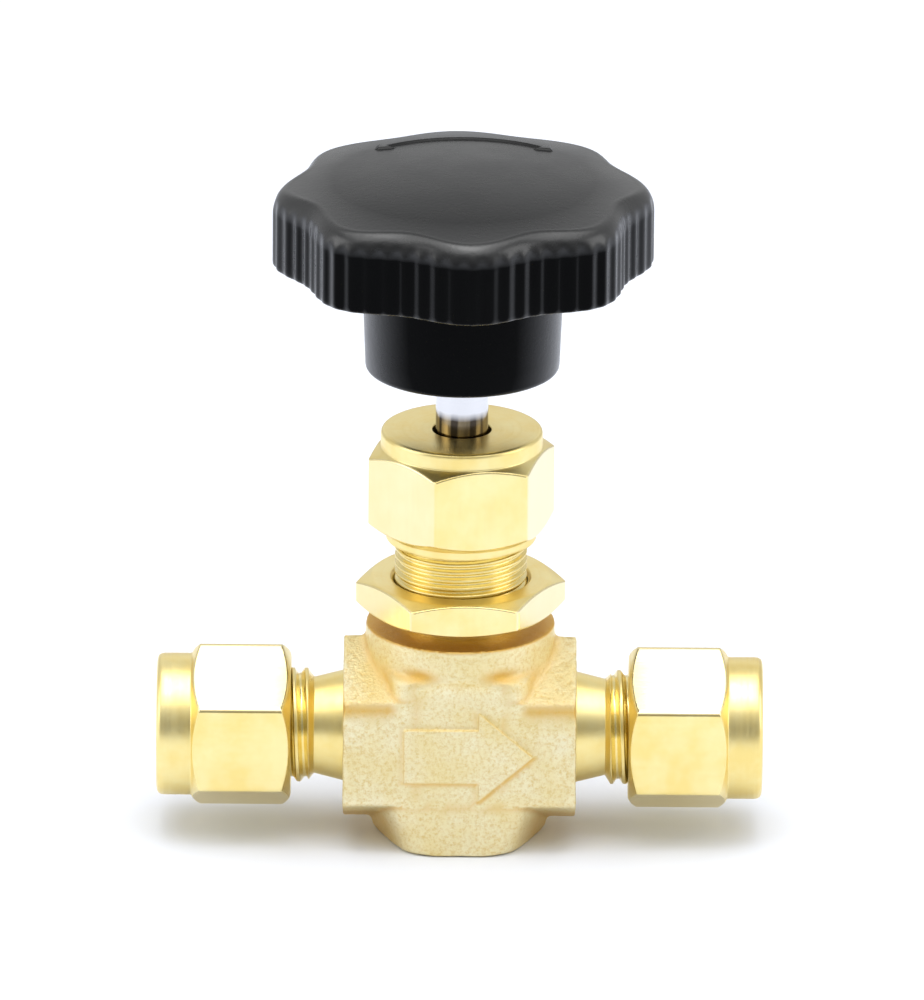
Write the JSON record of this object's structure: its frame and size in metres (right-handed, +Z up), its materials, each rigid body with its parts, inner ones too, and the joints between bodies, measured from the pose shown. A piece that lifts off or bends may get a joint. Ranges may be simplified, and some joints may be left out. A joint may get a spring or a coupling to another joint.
{
  "type": "needle valve",
  "caption": "Small brass integral-bonnet needle valve with a lobed black knob, a panel nut and a double-ferrule tube fitting on each side.",
  "frame": {"origin": "centre of the flat base, on the stem's axis", "axes": "+Z up along the stem, +X along the flow from the inlet to the outlet, -Y towards the front"},
  "size_m": [0.0578, 0.0362, 0.0662],
  "materials": {
    "forged_brass": "forged, sand-textured and bright-dipped",
    "machined_brass": "turned and milled, bright",
    "stainless_steel": "polished",
    "black_phenolic": "moulded, satin",
    "ptfe": "waxy white"
  },
  "bodies": {
    "valve_body": {"body": "forged_brass", "packing_support": "stainless_steel", "lower_packing": "ptfe", "upper_packing": "ptfe"},
    "panel_nut": {"panel_nut": "machined_brass"},
    "gland": {"packing_gland": "machined_brass"},
    "packing_nut": {"packing_nut": "machined_brass"},
    "stem_tip": {"stem_tip": "stainless_steel"},
    "handle": {"handle": "black_phenolic", "handle_insert": "machined_brass", "set_screw": "stainless_steel", "stem": "stainless_steel"},
    "inlet_ferrules": {"inlet_front_ferrule": "machined_brass", "inlet_back_ferrule": "machined_brass"},
    "inlet_nut": {"inlet_nut": "machined_brass"},
    "outlet_ferrules": {"outlet_front_ferrule": "machined_brass", "outlet_back_ferrule": "machined_brass"},
    "outlet_nut": {"outlet_nut": "machined_brass"}
  },
  "joints": [
    {"name": "stem_travel", "type": "slide", "parent": "valve_body", "child": "stem_tip", "axis": [0, 0, 1], "range_m": [-0.0039, 0]},
    {"name": "handle_turn", "type": "hinge", "parent": "stem_tip", "child": "handle", "pos_m": [0, 0, 0.047], "axis": [0, 0, 1], "range_deg": [-1550, 0]},
    {"name": "panel_nut_travel", "type": "slide", "parent": "valve_body", "child": "panel_nut", "axis": [0, 0, 1], "range_m": [-0.001, 0.003]},
    {"name": "gland_travel", "type": "slide", "parent": "valve_body", "child": "gland", "axis": [0, 0, 1], "range_m": [0, 0.00095]},
    {"name": "packing_nut_turn", "type": "hinge", "parent": "gland", "child": "packing_nut", "pos_m": [0, 0, 0.034], "axis": [0, 0, 1], "range_deg": [0, 431]},
    {"name": "inlet_nut_travel", "type": "slide", "parent": "valve_body", "child": "inlet_ferrules", "axis": [-1, 0, 0], "range_m": [0, 0.0076]},
    {"name": "inlet_nut_turn", "type": "hinge", "parent": "inlet_ferrules", "child": "inlet_nut", "pos_m": [-0.022, 0, 0.0103], "axis": [-1, 0, 0], "range_deg": [0, 2160]},
    {"name": "outlet_nut_travel", "type": "slide", "parent": "valve_body", "child": "outlet_ferrules", "axis": [1, 0, 0], "range_m": [0, 0.0076]},
    {"name": "outlet_nut_turn", "type": "hinge", "parent": "outlet_ferrules", "child": "outlet_nut", "pos_m": [0.022, 0, 0.0103], "axis": [1, 0, 0], "range_deg": [0, 2160]}
  ],
  "couplings": [
    {"joint": "handle_turn", "follows": "stem_travel", "rad_per_m": 6926.7},
    {"joint": "packing_nut_turn", "follows": "gland_travel", "rad_per_m": 7915.8},
    {"joint": "inlet_nut_turn", "follows": "inlet_nut_travel", "rad_per_m": 4947.4},
    {"joint": "outlet_nut_turn", "follows": "outlet_nut_travel", "rad_per_m": 4947.4}
  ]
}
